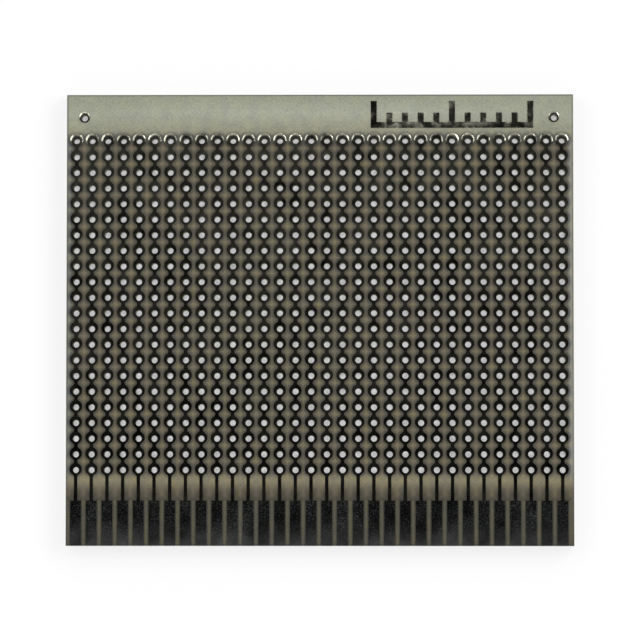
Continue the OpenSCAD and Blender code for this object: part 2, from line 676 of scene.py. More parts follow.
class TrackMaker:
    """Makes the 32 tracks: chains of pads that end in contact fingers."""

    CROWN_RINGS = 6
    PAD_RINGS = 2

    def __init__(self, cell: PadCell, tail: Tail) -> None:
        """Build the tree from its two parts.

        Args:
            cell: The pads' tree.
            tail: The tree of lead and finger.
        """
        self.graph = ShapeGraph("Track", {
            **floats("Column X", "First Y", "Plate Top", "End Y"),
            "Rows": (SocketKind.INT, PLAN.rows), "Material": (SocketKind.MATERIAL, None)})
        self.cell = cell
        self.tail = tail
        self._build()

    @staticmethod
    def cell_sizes() -> dict[str, object]:
        """Sizes that every pad of the board shares.

        Returns:
            Values of the cell's inputs, by name.
        """
        return {"Flank Radius": PLAN.flank_radius, "Pitch": PLAN.pitch,
                "Hole Radius": PLAN.hole_radius, "Drill X": PLAN.drill_x,
                "Drill Y": PLAN.drill_y, "Rim": RELIEF.rim, "Dome": RELIEF.dome,
                "Crown Inset": RELIEF.crown_inset, "Crater Width": RELIEF.crater_width}

    def _pad(self, upper: float, lower: float) -> bpy.types.NodeSocket:
        """Common pad, with waists of these widths above and below.

        Args:
            upper: Width of the waist above.
            lower: Width of the waist below.

        Returns:
            The pad.
        """
        sizes = {**self.cell_sizes(), "Pad Radius": PLAN.pad_radius, "Upper Waist": upper,
                 "Lower Waist": lower, "Pad Dome": RELIEF.dome, "Dome Width": RELIEF.dome_width,
                 "Crown Sphere": RELIEF.flat_sphere, "Crater": RELIEF.crater,
                 "Rings": self.PAD_RINGS}
        return self.graph.place(self.cell.graph, sizes).outputs[0]

    def _first_pad(self) -> bpy.types.NodeSocket:
        """First pad, which carries the crown of gathered solder.

        Returns:
            The pad.
        """
        sizes = {**self.cell_sizes(), "Pad Radius": PLAN.first_pad_radius,
                 "Pad Shift": PLAN.first_pad_shift, "Lower Waist": PLAN.waist_width,
                 "Drill Y": PLAN.drill_y + RELIEF.crown_lip,
                 "Pad Dome": RELIEF.crown_dome, "Dome Width": RELIEF.crown_dome_width,
                 "Crown Sphere": RELIEF.crown_sphere(PLAN.first_pad_radius),
                 "Crater": RELIEF.crown_crater, "Rings": self.CROWN_RINGS}
        return self.graph.place(self.cell.graph, sizes).outputs[0]

    def _build(self) -> None:
        """Add the nodes."""
        g = self.graph
        pitch = PLAN.pitch
        rows = g.given("Rows")
        steps = (rows - 1.0) * -pitch
        waist = PLAN.waist_width
        chain = g.repeat(g.line(rows - 2.0, (0.0, -pitch, 0.0), (0.0, -pitch, 0.0)),
                         self._pad(waist, waist))
        last = g.shift(self._pad(waist, PLAN.lead_width), 0.0, steps, 0.0)
        end_y = g.given("End Y") - g.given("First Y")
        tail = g.place(self.tail.graph, {
            "Pitch": pitch, "Lead Width": PLAN.lead_width, "Finger Width": PLAN.finger_width,
            "Start Y": steps - pitch / 2, "Finger Y": end_y + PLAN.finger_length, "End Y": end_y,
            "Rim": RELIEF.rim, "Dome": RELIEF.dome})
        whole = g.join(self._first_pad(), chain, last, tail.outputs[0])
        placed = g.shift(whole, g.given("Column X"), g.given("First Y"), 0.0)
        finish_tin(g, placed)

    def make(self, material: bpy.types.Material) -> None:
        """Make every track in its own column.

        Args:
            material: The tin.
        """
        for column in range(1, PLAN.columns + 1):
            name = PLAN.track(column)
            piece = grow(name + "_tin", self.graph, {
                "Column X": PLAN.middle(name).x, "First Y": PLAN.first_y,
                "Plate Top": PLAN.high.z, "End Y": PLAN.low.y, "Rows": PLAN.rows,
                "Material": material})
            hand_in(piece, TIN_SLOT, name)


def finish_tin(g: ShapeGraph, mesh: object) -> None:
    """Ripple the top of tin in proportion to its height, set it on the plate and end the tree.

    Args:
        g: The tree.
        mesh: Tin whose foot is at height zero.
    """
    x, y, z = g.position()
    noise = g.add("ShaderNodeTexNoise", {"Scale": RELIEF.ripple_scale, "Detail": 1.0,
                                         "Vector": g.vector(x, y, 0.0)})
    full = RELIEF.rim + RELIEF.dome
    sink = (1.0 - g.out(noise, 0)) * RELIEF.ripple * (z / full)
    g.finish(g.shift(g.move(mesh, x, y, z - sink), 0.0, 0.0, g.given("Plate Top")),
             g.given("Material"))


class CornerPads:
    """Makes the two single ring pads in the rear corners."""

    RINGS = 6
    NODES = ("corner_pad_left", "corner_pad_right")

    def __init__(self, cell: PadCell) -> None:
        """Build the tree around one pad cell with no waists.

        Args:
            cell: The pads' tree.
        """
        self.graph = ShapeGraph("Ring Pad", {
            **floats("Centre X", "Centre Y", "Plate Top", "Pad Radius"),
            "Material": (SocketKind.MATERIAL, None)})
        g = self.graph
        sizes = {**TrackMaker.cell_sizes(), "Pad Radius": g.given("Pad Radius"),
                 "Pad Dome": RELIEF.crown_dome, "Dome Width": RELIEF.crown_dome_width,
                 "Crown Sphere": RELIEF.crown_sphere(PLAN.corner_pad_radius),
                 "Crater": RELIEF.crown_crater, "Rings": self.RINGS}
        ring = g.place(cell.graph, sizes).outputs[0]
        placed = g.shift(ring, g.given("Centre X"), g.given("Centre Y"), 0.0)
        finish_tin(g, placed)

    def make(self, material: bpy.types.Material) -> None:
        """Make both pads.

        Args:
            material: The tin.
        """
        for node in self.NODES:
            centre = PLAN.middle(node)
            piece = grow(node + "_tin", self.graph, {
                "Centre X": centre.x, "Centre Y": centre.y, "Plate Top": PLAN.high.z,
                "Pad Radius": PLAN.corner_pad_radius, "Material": material})
            hand_in(piece, TIN_SLOT, node)


@dataclass(frozen=True)
class ScaleBar:
    """The copper scale: a base line with a tick over each column."""

    node: str = "scale_bar"
    ticks: int = 10
    stroke: float = 0.95 * MM
    short_tick: float = 2.0 * MM
    long_tick: float = 3.9 * MM
    stroke_steps: int = 6
    gap_steps: int = 3
    short_steps: int = 5
    long_steps: int = 5

    def make(self, material: bpy.types.Material) -> None:
        """Make the bar as a domed comb.

        Args:
            material: The tin.
        """
        g = ShapeGraph("Scale Bar", {
            **floats("Start X", "Base Y", "Plate Top", "Stroke"),
            "Ticks": (SocketKind.INT, self.ticks), "Material": (SocketKind.MATERIAL, None)})
        pitch = PLAN.pitch
        half = g.given("Stroke") * 0.5
        per_pitch = float(self.stroke_steps + self.gap_steps)
        across = g.given("Ticks") * per_pitch + float(self.stroke_steps)
        along = self.stroke_steps + self.short_steps + self.long_steps
        grid = g.grid(across + 1.0, along + 1)
        u, v, _ = g.position()
        column = ((u + 0.5) * across).math("ROUND")
        tick = (column / per_pitch).floor()
        part = column - tick * per_pitch
        bar_steps = float(self.stroke_steps)
        x = (tick * pitch - half + part.slide(0.0, bar_steps, 0.0, half * 2.0)
             + part.slide(bar_steps, per_pitch, 0.0, pitch - half * 2.0))
        row = ((v + 0.5) * float(along)).math("ROUND")
        short_row = bar_steps + self.short_steps
        y = (row.slide(0.0, bar_steps, 0.0, half * 2.0) - half
             + row.slide(bar_steps, short_row, 0.0, self.short_tick - half)
             + row.slide(short_row, float(along), 0.0, self.long_tick - self.short_tick))
        flat = g.move(grid, x, y, 0.0)

        face_x, face_y, _ = g.position()
        face_tick = ((face_x + half) / pitch).floor()
        in_stroke = (face_x - face_tick * pitch).under(half)
        is_long = face_tick.math("MODULO", self.ticks / 2).under(0.5)
        in_tick = face_y.under(self.short_tick).most(is_long) * in_stroke
        comb = g.drop(flat, 1.0 - face_y.under(half).most(in_tick))
        raised = g.add("GeometryNodeExtrudeMesh",
                       {"Mesh": comb, "Offset": (0.0, 0.0, 1.0), "Offset Scale": RELIEF.rim,
                        "Individual": False}, mode="FACES")
        under = g.add("GeometryNodeFlipFaces", {"Mesh": comb})
        solid = g.join(raised.outputs["Mesh"], under.outputs[0])

        x, y, z = g.position()
        nearest = (x / pitch).math("ROUND")
        length = g.given("Ticks") * pitch
        bar_in = (half - abs(y)).least(x + half).least(length + half - x)
        tall = nearest.math("MODULO", self.ticks / 2).under(0.5)
        tick_top = self.short_tick + tall * (self.long_tick - self.short_tick)
        tick_in = (half - abs(x - nearest * pitch)).least(tick_top - y).least(y + half)
        rise = (bar_in.most(tick_in) / RELIEF.dome_width).ease_out() * RELIEF.dome
        domed = g.move(solid, x, y, z + rise * z.over(RELIEF.rim / 2))
        placed = g.shift(domed, g.given("Start X"), g.given("Base Y"), 0.0)
        finish_tin(g, placed)
        low, _ = cad_box(self.node)
        piece = grow(self.node + "_tin", g, {
            "Start X": low.x + self.stroke / 2, "Base Y": low.y + self.stroke / 2,
            "Plate Top": PLAN.high.z, "Ticks": self.ticks, "Stroke": self.stroke,
            "Material": material})
        hand_in(piece, TIN_SLOT, self.node)


@dataclass(frozen=True)
class Plate:
    """The drilled glass-epoxy plate, with slightly broken edges."""

    node: str = "laminate"
    sides: int = 24
    edge_chamfer: float = 0.06 * MM
    hole_chamfer: float = 0.04 * MM
    cut_slope: float = 0.99

    def inside(self, x: Field, y: Field) -> Field:
        """Distance from a place on the plate to its nearest side."""
        half = (PLAN.high - PLAN.low) / 2
        return (half.x - abs(x)).least(half.y - abs(y))

    def _holes(self, g: ShapeGraph) -> bpy.types.NodeSocket:
        """Points at the middles of all drilled holes, in the part's frame.

        Args:
            g: The tree.

        Returns:
            The points.
        """
        spread_x = (PLAN.columns - 1) * PLAN.pitch
        spread_y = (PLAN.rows - 1) * PLAN.pitch
        lattice = g.add("GeometryNodeMeshGrid", {"Size X": spread_x, "Size Y": spread_y,
                                                 "Vertices X": PLAN.columns,
                                                 "Vertices Y": PLAN.rows})
        placed = g.shift(lattice.outputs["Mesh"], PLAN.first_x + spread_x / 2 + PLAN.drill_x,
                         PLAN.first_y - spread_y / 2 + PLAN.drill_y, 0.0)
        left, right = (PLAN.middle(node) for node in CornerPads.NODES)
        corners = g.line(2, (left.x + PLAN.drill_x, left.y + PLAN.drill_y, 0.0),
                         (right.x - left.x, 0.0, 0.0))
        return g.join(placed, corners)

    def _liner(self, g: ShapeGraph, thickness: float) -> bpy.types.NodeSocket:
        """Wall of one hole, with its lower rim broken.

        Args:
            g: The tree.
            thickness: The plate's thickness.

        Returns:
            The wall.
        """
        radius = g.given("Hole Radius")
        grid = g.grid(self.sides + 1, 3)
        u, v, _ = g.position()
        turn = (u + 0.5) * (2 * math.pi)
        level = v + 0.5
        reach = radius + level.slide(0.5, 0.0, 0.0, self.hole_chamfer)
        z = level.slide(0.0, 0.5, 0.0, self.hole_chamfer) + level.slide(
            0.5, 1.0, 0.0, thickness - self.hole_chamfer)
        return g.join(g.move(grid, turn.math("COSINE") * reach, turn.math("SINE") * reach * -1.0, z))

    def _rim(self, g: ShapeGraph, size: Vector) -> bpy.types.NodeSocket:
        """The plate's four cut sides, with both edges broken.

        Args:
            g: The tree.
            size: The plate's size.

        Returns:
            The sides.
        """
        grid = g.grid(5, 4)
        u, v, _ = g.position()
        corner = ((u + 0.5) * 4.0).math("ROUND")
        level = ((v + 0.5) * 3.0).math("ROUND")
        right = abs(corner.math("MODULO", 4.0) - 1.5).under(1.0) * 2.0 - 1.0
        rear = abs(corner.math("MODULO", 4.0) - 2.5).under(1.0) * 2.0 - 1.0
        inset = (1.0 - level.over(0.5) * level.under(2.5)) * self.edge_chamfer
        z = (level.slide(0.0, 1.0, 0.0, self.edge_chamfer)
             + level.slide(1.0, 2.0, 0.0, size.z - 2 * self.edge_chamfer)
             + level.slide(2.0, 3.0, 0.0, self.edge_chamfer))
        return g.join(g.move(grid, right * (size.x / 2 - inset), rear * (size.y / 2 - inset), z))

    def _face(self, g: ShapeGraph, holes: object, radius: Operand, size: Vector,
              z: float) -> bpy.types.NodeSocket:
        """One flat face of the plate, with its holes.

        Args:
            g: The tree.
            holes: Points at the holes' middles.
            radius: Radius of the holes in this face.
            size: Size of the plate.
            z: Height of the face.

        Returns:
            The face, which looks up.
        """
        ring = g.add("GeometryNodeCurvePrimitiveCircle",
                     {"Resolution": self.sides, "Radius": radius}, mode="RADIUS")
        rings = g.repeat(holes, ring.outputs[0])
        outline = g.add("GeometryNodeCurvePrimitiveQuadrilateral",
                        {"Width": size.x - 2 * self.edge_chamfer,
                         "Height": size.y - 2 * self.edge_chamfer}, mode="RECTANGLE")
        curves = g.add("GeometryNodeJoinGeometry")
        g.feed(curves.inputs[0], rings)
        g.feed(curves.inputs[0], outline.outputs[0])
        filled = g.add("GeometryNodeFillCurve", {"Curve": curves.outputs[0]})
        return g.shift(filled.outputs[0], 0.0, 0.0, z)

    def make(self, face: bpy.types.Material, cut: bpy.types.Material) -> None:
        """Make the plate.

        Args:
            face: Finish of its two faces.
            cut: Finish of its cut edges and of the holes' walls.
        """
        g = ShapeGraph("Drilled Plate", {
            **floats("Hole Radius"), "Face": (SocketKind.MATERIAL, None),
            "Cut": (SocketKind.MATERIAL, None)})
        size = PLAN.high - PLAN.low
        holes = self._holes(g)
        radius = g.given("Hole Radius")
        liners = g.repeat(holes, self._liner(g, size.z))
        top = self._face(g, holes, radius, size, size.z)
        low = self._face(g, holes, radius + self.hole_chamfer, size, 0.0)
        under = g.add("GeometryNodeFlipFaces", {"Mesh": low}).outputs[0]
        whole = g.join(top, under, liners, self._rim(g, size))
        _, _, normal_z = g.split(g.add("GeometryNodeInputNormal").outputs[0])
        g.finish(whole, g.given("Face"), g.given("Cut"), abs(normal_z).under(self.cut_slope))
        piece = grow("laminate_plate", g, {"Hole Radius": PLAN.hole_radius, "Face": face,
                                           "Cut": cut})
        hand_in(piece, EPOXY_SLOT, self.node)


class Surface(Graph):
    """The node tree of a material, which ends in one Principled shader."""

    def __init__(self, name: str) -> None:
        """Start a material with an empty Principled shader.

        Args:
            name: The material's name.
        """
        self.material = bpy.data.materials.new(name)
        self.material.use_nodes = True
        self.tree = self.material.node_tree
        self.kind = TreeKind.SHADER
        self.shader = self.tree.nodes["Principled BSDF"]

    def set(self, **values: object) -> None:
        """Set or join the shader's inputs, whose names have underscores for spaces."""
        for name, value in values.items():
            self.feed(self.shader.inputs[name.replace("_", " ")], value)

    def object_place(self) -> bpy.types.NodeSocket:
        """Object coordinates, in metres."""
        return self.add("ShaderNodeTexCoord").outputs["Object"]

    def mix(self, share: Operand, low: object, high: object,
            blend: str = "MIX") -> bpy.types.NodeSocket:
        """Mix two colours.

        Args:
            share: Share of the second colour, from zero to one.
            low: First colour.
            high: Second colour.
            blend: Blender's name of the way to mix.

        Returns:
            The mixed colour.
        """
        node = self.add("ShaderNodeMix", data_type="RGBA", blend_type=blend)
        first_colour_input = 6
        self.feed(node.inputs[0], share)
        self.feed(node.inputs[first_colour_input], low)
        self.feed(node.inputs[first_colour_input + 1], high)
        return node.outputs[2]

    def tint(self, shade: object, level: Operand) -> bpy.types.NodeSocket:
        """Colour made darker or lighter by a varying level."""
        return self.mix(1.0, shade, self.vector(level, level, level), "MULTIPLY")

    def ramp(self, value: Operand, stops: tuple[tuple[float, tuple], ...],
             reach: float = 1.0) -> bpy.types.NodeSocket:
        """Colour that follows a value.

        Args:
            value: The value.
            stops: Value and colour of each stop.
            reach: Value at the ramp's end.

        Returns:
            The colour.
        """
        node = self.add("ShaderNodeValToRGB", {"Fac": value / reach})
        elements = node.color_ramp.elements
        for number, (place, shade) in enumerate(stops):
            element = elements[number] if number < 2 else elements.new(1.0)
            element.position = place / reach
            element.color = shade
        return node.outputs["Color"]

    def bump(self, height: Operand, depth: float, under: object = None) -> bpy.types.NodeSocket:
        """Normal that a height gives.

        Args:
            height: Height, from zero to one.
            depth: What one stands for, in metres.
            under: Normal of a coarser bump below this one.

        Returns:
            The normal.
        """
        node = self.add("ShaderNodeBump", {"Height": height, "Distance": depth})
        if under is not None:
            self.feed(node.inputs["Normal"], under)
        return node.outputs["Normal"]


class Room(Graph):
    """The node tree of the world around the board."""

    def __init__(self) -> None:
        """Start a world with an even background."""
        self.world = bpy.data.worlds.new("room")
        self.world.use_nodes = True
        self.tree = self.world.node_tree
        self.kind = TreeKind.SHADER

    def direction(self) -> bpy.types.NodeSocket:
        """Direction of the look into the room."""
        return self.add("ShaderNodeTexCoord").outputs["Generated"]

    def paint(self, level: Field) -> None:
        """Paint the room in a grey of this level."""
        background = self.tree.nodes["Background"]
        self.feed(background.inputs["Color"], self.vector(level, level, level))


def colour(red: int, green: int, blue: int) -> tuple[float, float, float, float]:
    """Colour of three display levels from 0 to 255, as Blender's linear values.

    Args:
        red: Display level from 0 to 255.
        green: The same.
        blue: The same.

    Returns:
        The colour in linear values, with full alpha.
    """
    levels = (level / 255 for level in (red, green, blue))
    linear = (s / 12.92 if s <= 0.04045 else ((s + 0.055) / 1.055) ** 2.4 for s in levels)
    return (*linear, 1.0)


DRIFT_SHARE = 0.37
SPECK_REACH = (0.35, 0.1)


def grain_group() -> Graph:
    """Shader group of uneven surfaces: slow patches, fine grain and sparse specks.

    Returns:
        The group, with the outputs Patch, Drift, Grain and Speck.
    """
    g = Graph("Grain", TreeKind.SHADER,
              {"Place": (SocketKind.VECTOR, None), "Patch Scale": (SocketKind.FLOAT, 300.0),
               "Grain Scale": (SocketKind.FLOAT, 4000.0)},
              {"Patch": SocketKind.FLOAT, "Drift": SocketKind.FLOAT, "Grain": SocketKind.FLOAT,
               "Speck": SocketKind.FLOAT})
    place = g.start.outputs["Place"]
    patch_scale = g.given("Patch Scale")
    patch = g.add("ShaderNodeTexNoise", {"Vector": place, "Scale": patch_scale, "Detail": 2.0})
    drift = g.add("ShaderNodeTexNoise", {"Vector": place, "Scale": patch_scale * DRIFT_SHARE,
                                         "Detail": 1.0})
    grain = g.add("ShaderNodeTexNoise", {"Vector": place, "Scale": g.given("Grain Scale"),
                                         "Detail": 1.0})
    cells = g.add("ShaderNodeTexVoronoi", {"Vector": place, "Scale": g.given("Grain Scale")})
    g.hand_over(Patch=g.out(patch, 0), Drift=g.out(drift, 0), Grain=g.out(grain, 0),
                Speck=g.out(cells, "Distance").slide(*SPECK_REACH))
    return g


def copper_distance_group() -> Graph:
    """Shader group that gives the distance from a place on the plate to the nearest copper.

    Returns:
        The group, with the output Distance.
    """
    g = Graph("Copper Distance", TreeKind.SHADER, {"Place": (SocketKind.VECTOR, None)},
              {"Distance": SocketKind.FLOAT})
    x, y, _ = g.split(g.start.outputs["Place"])
    pitch = PLAN.pitch

    def disc(across: Field, along: Field, radius: Operand) -> Field:
        """Distance to a disc around zero."""
        return (across * across + along * along).root() - radius

    def box(across: Field, along: Field, half_x: float, half_y: Operand) -> Field:
        """Distance to a box around zero.

        Args:
            across: Place across.
            along: Place along.
            half_x: Half of its width.
            half_y: Half of its length.

        Returns:
            The distance.
        """
        out_x = (abs(across) - half_x).most(0.0)
        out_y = (abs(along) - half_y).most(0.0)
        return (out_x * out_x + out_y * out_y).root()

    column = ((x - PLAN.first_x) / pitch).math("ROUND").most(0.0).least(PLAN.columns - 1.0)
    side_x = x - PLAN.first_x - column * pitch
    row = ((PLAN.first_y - y) / pitch).math("ROUND").most(0.0).least(PLAN.rows - 1.0)
    from_row = y - PLAN.first_y + row * pitch
    first = row.under(0.5)
    pad = disc(side_x, from_row - first * PLAN.first_pad_shift,
               PLAN.pad_radius + first * (PLAN.first_pad_radius - PLAN.pad_radius))
    front = PLAN.low.y
    half_run = (PLAN.first_y - front) / 2
    strip = box(side_x, y - (front + half_run), PLAN.waist_width / 2, half_run)
    half_finger = PLAN.finger_length / 2
    finger = box(side_x, y - (front + half_finger), PLAN.finger_width / 2, half_finger)

    left, right = (PLAN.middle(node) for node in CornerPads.NODES)
    corner_x = abs(x - (left.x + right.x) / 2) - (right.x - left.x) / 2
    corner = disc(corner_x, y - left.y, PLAN.corner_pad_radius)

    bar = ScaleBar()
    low, high = cad_box(bar.node)
    base_y = low.y + bar.stroke / 2
    base = box(x - (low.x + high.x) / 2, y - base_y, (high.x - low.x) / 2, bar.stroke / 2)
    start_x = low.x + bar.stroke / 2
    tick = ((x - start_x) / pitch).math("ROUND").most(0.0).least(float(bar.ticks))
    tall = tick.math("MODULO", bar.ticks / 2).under(0.5)
    half_tick = (bar.short_tick + tall * (bar.long_tick - bar.short_tick)) / 2
    ticks = box(x - start_x - tick * pitch, y - base_y - half_tick, bar.stroke / 2, half_tick)
    nearest = pad.least(strip).least(finger).least(corner).least(base).least(ticks)
    g.hand_over(Distance=nearest.most(0.0))
    return g


@dataclass(frozen=True)
class Tin:
    """Hot-tinned copper: dark and glossy on the tracks, dull and granular on the fingers, with
    painted shade that darkens the tracks towards the front rows.
    """

    # Colours of the tracks at the rear and front rows; the change between them is painted shade.
    bright: tuple = colour(121, 120, 109)
    deep: tuple = colour(75, 74, 68)
    finger: tuple = colour(44, 46, 44)
    finger_speck: tuple = colour(142, 143, 145)
    finger_tip: tuple = colour(138, 139, 138)
    drift_tone: float = 2.2
    patch_tone: float = 2.6
    least_tone: float = 0.3
    wave_height: float = 0.14 * MM
    bar_waves: float = 2.2
    bar_clouding: float = 0.25
    bar_start: tuple = (1.5 * MM, 2.2 * MM)
    bar_margin: tuple = (4.6 * MM, 5.6 * MM)
    cloud_range: tuple = (0.46, 0.6)
    wear_power: float = 3.0
    granule_range: tuple = (0.46, 0.7)
    granule_share: float = 0.45
    finger_calm: float = 0.9
    finger_even: float = 0.7
    granule_height: float = 0.02 * MM
    track_grain: float = 0.1
    gloss: float = 0.2
    deep_gloss: float = 0.13
    gloss_spread: float = 0.08
    dull: float = 0.3
    finger_edge: float = 0.2 * MM
    patch_scale: float = 620.0
    grain_scale: float = 3800.0

    def material(self, grain: Graph) -> bpy.types.Material:
        """Build the material.

        Args:
            grain: Shader group of uneven surfaces.

        Returns:
            The material.
        """
        s = Surface("tinned_copper")
        place = s.object_place()
        x, y, _ = s.split(place)
        noise = s.place(grain, {"Place": place, "Patch Scale": self.patch_scale,
                                "Grain Scale": self.grain_scale})
        patch = s.out(noise, "Patch")
        fine = s.out(noise, "Grain")
        finger_end = PLAN.low.y + PLAN.finger_length
        on_finger = y.slide(finger_end + self.finger_edge, finger_end - self.finger_edge)
        towards_rear = y.slide(PLAN.last_y, PLAN.first_y)
        on_bar = y.slide(*(PLAN.first_y + reach for reach in self.bar_start)) * abs(x).slide(
            *(PLAN.high.x - margin for margin in self.bar_margin))
        # Painted shade: the tracks darken towards the front rows.
        track = s.mix(towards_rear, self.deep, self.bright)
        towards_tip = y.slide(finger_end, PLAN.low.y)
        worn = s.mix(towards_tip.math("POWER", self.wear_power), self.finger, self.finger_tip)
        granules = (fine.slide(*self.granule_range) * self.granule_share
                    + s.out(noise, "Speck")).least(1.0)
        finger = s.mix(granules, worn, self.finger_speck)
        gloss = towards_rear.slide(0.0, 1.0, self.deep_gloss, self.gloss)
        spread = (patch + fine - 1.0) * self.gloss_spread
        clouded = on_bar * patch.slide(*self.cloud_range) * self.bar_clouding
        rough = gloss + spread + on_finger * (self.dull - gloss) + clouded
        waves = s.bump(patch * (1.0 - on_finger * self.finger_calm + on_bar * self.bar_waves),
                       self.wave_height)
        tarnish = ((s.out(noise, "Drift") - 0.5) * self.drift_tone
                   + (patch - 0.5) * self.patch_tone * (1.0 - on_finger * self.finger_even) + 1.0
                   ).most(self.least_tone)
        metal = s.tint(s.mix(on_finger, track, finger), tarnish)
        s.set(Base_Color=metal, Metallic=1.0, Roughness=rough,
              Normal=s.bump(fine * on_finger.slide(0.0, 1.0, self.track_grain, 1.0),
                            self.granule_height, waves))
        return s.material


@dataclass(frozen=True)
class EpoxyFace:
    """Glass epoxy seen on its faces: painted light makes it pale in the open, and painted shade
    makes it darker and browner among the copper.
    """

    # Colours of the plate by zone, with painted light and shade in them: lighter in the open band
    # and at the lead glow, painted darker in the pad field and in the gaps between leads and
    # fingers.
    finger_gap: tuple = colour(84, 81, 68)
    lead_gap: tuple = colour(101, 95, 79)
    lead_glow: tuple = colour(132, 125, 102)
    field: tuple = colour(115, 107, 84)
    band_foot: tuple = colour(142, 141, 121)
    band: tuple = colour(164, 167, 151)
    band_edge: tuple = colour(149, 152, 134)
    left_margin: tuple = colour(126, 125, 112)
    right_margin: tuple = colour(141, 139, 127)
    # Painted shade: multipliers that darken the plate towards the copper among the pads.
    shade: tuple = (
        (0.0 * MM, (0.4, 0.43, 0.54, 1.0)),
        (0.25 * MM, (0.46, 0.49, 0.62, 1.0)),
        (0.5 * MM, (0.86, 0.88, 0.92, 1.0)),
        (0.7 * MM, (0.99, 0.99, 1.0, 1.0)),
    )
    shade_reach: float = 0.8 * MM
    # Painted shade: multipliers that darken the plate beside the leads and the fingers.
    lead_shade: tuple = (
        (0.0 * MM, (0.42, 0.42, 0.45, 1.0)),
        (0.22 * MM, (0.52, 0.52, 0.55, 1.0)),
        (0.5 * MM, (0.62, 0.62, 0.64, 1.0)),
        (0.7 * MM, (0.77, 0.77, 0.78, 1.0)),
        (0.95 * MM, (1.0, 1.0, 1.0, 1.0)),
    )
    lead_shade_reach: float = 1.2 * MM
    finger_nearness: float = 3.2
    finger_edge: float = 0.3 * MM
    lead_zone: tuple = (2.3 * MM, 4.0 * MM)
    pad_zone: tuple = (1.6 * MM, 0.8 * MM)
    gap_end: float = 0.7 * MM
    lead_stops: tuple = (3.4 * MM, 1.8 * MM)
    band_stops: tuple = (-0.6 * MM, 1.3 * MM, 4.5 * MM)
    band_end: float = 0.6 * MM
    side_share: tuple = (0.35, 0.95)
    margin_zone: tuple = (1.1 * MM, 0.5 * MM)
    underside: tuple = colour(158, 160, 138)
    # Painted shade of the copper on the underside, as if seen through the plate.
    ghost: float = 0.22
    ghost_reach: float = 0.6 * MM
    olive: tuple = (1.03, 1.005, 0.9, 1.0)
    ashen: tuple = (0.97, 0.99, 1.05, 1.0)
    hue_range: tuple = (0.36, 0.64)
    plain_hue: tuple = (1.0, 1.0, 1.0, 1.0)
    band_calm: float = 0.6
    calm_reach: float = 2.0 * MM
    rear_blotch: float = 0.3
    patch_tone: float = 0.5
    drift_tone: float = 0.16
    grain_tone: float = 0.45
    # Painted shade: the dark line along the face's border, with its strength on each side.
    line: tuple = colour(44, 43, 38)
    front_line: float = 1.0
    left_line: float = 0.9
    right_line: float = 0.7
    rear_line: float = 0.8
    line_width: float = 0.36 * MM
    weave_pitch: float = 0.72 * MM
    weave_tone: float = 0.035
    weave_height: float = 0.006 * MM
    fine_share: float = 0.3
    roughness: float = 0.48
    patch_scale: float = 620.0
    grain_scale: float = 2600.0

    def _open_shade(self, s: Surface, x: Field, y: Field) -> bpy.types.NodeSocket:
        """Colour of the plate's copper side away from the copper, with painted light and shade by
        zone.

        Args:
            s: The material.
            x: Place across the tracks.
            y: Place along the tracks.

        Returns:
            The colour.
        """
        depth = PLAN.high.y - PLAN.low.y
        last = PLAN.last_y - PLAN.low.y
        first = PLAN.first_y - PLAN.low.y
        lead_foot, lead_top = (last - stop for stop in self.lead_stops)
        field_end, band_foot, band_full = (first + stop for stop in self.band_stops)
        # Painted light and shade down the board: darker in the finger and lead gaps and the pad
        # field, lighter at the lead glow and in the open band.
        along = s.ramp(y - PLAN.low.y, (
            (PLAN.finger_length - self.gap_end, self.finger_gap), (lead_foot, self.lead_gap),
            (lead_top, self.lead_glow), (last, self.field), (field_end, self.field),
            (band_foot, self.band_foot), (band_full, self.band),
            (depth - self.band_end, self.band_edge)), depth)
        half = (PLAN.high.x - PLAN.low.x) / 2
        side_start, side_end = (half * share for share in self.side_share)
        to_side = abs(x).slide(side_start, side_end) * y.slide(PLAN.first_y, PLAN.high.y)
        along = s.mix(to_side, along, self.band_edge)
        margin = s.mix(x.over(0.0), self.left_margin, self.right_margin)
        in_field = y.slide(PLAN.last_y - PLAN.pitch, PLAN.last_y) * y.slide(
            PLAN.first_y + PLAN.pitch / 2, PLAN.first_y)
        on_margin = abs(x).slide(*(half - inset for inset in self.margin_zone)) * in_field
        return s.mix(on_margin, along, margin)

    def _painted_edge_shade(self, x: Field, y: Field) -> Field:
        """Share of the painted dark line along the face's border, a painted shade at the plate's
        edges.

        Args:
            x: Place across the tracks.
            y: Place along the tracks.

        Returns:
            The share.
        """
        sides = ((y - PLAN.low.y, self.front_line), (x - PLAN.low.x, self.left_line),
                 (PLAN.high.x - x, self.right_line), (PLAN.high.y - y, self.rear_line))
        lines = [inside.slide(0.0, self.line_width, strength, 0.0, soft=True)
                 for inside, strength in sides]
        return lines[0].most(lines[1]).most(lines[2]).most(lines[3])

    def material(self, grain: Graph, copper: Graph) -> bpy.types.Material:
        """Build the material.

        Args:
            grain: Shader group of uneven surfaces.
            copper: Shader group of the distance to the copper.

        Returns:
            The material.
        """
        s = Surface("glass_epoxy_face")
        place = s.object_place()
        x, y, z = s.split(place)
        noise = s.place(grain, {"Place": place, "Patch Scale": self.patch_scale,
                                "Grain Scale": self.grain_scale})
        away = s.out(s.place(copper, {"Place": place}))
        among_pads = y.slide(*(PLAN.last_y - reach for reach in self.pad_zone)) * y.slide(
            *(PLAN.first_y + reach for reach in self.pad_zone))
        # Painted shade that darkens the plate towards the copper among the pads.
        upper = s.mix(among_pads, self._open_shade(s, x, y),
                      s.ramp(away, self.shade, self.shade_reach), "MULTIPLY")
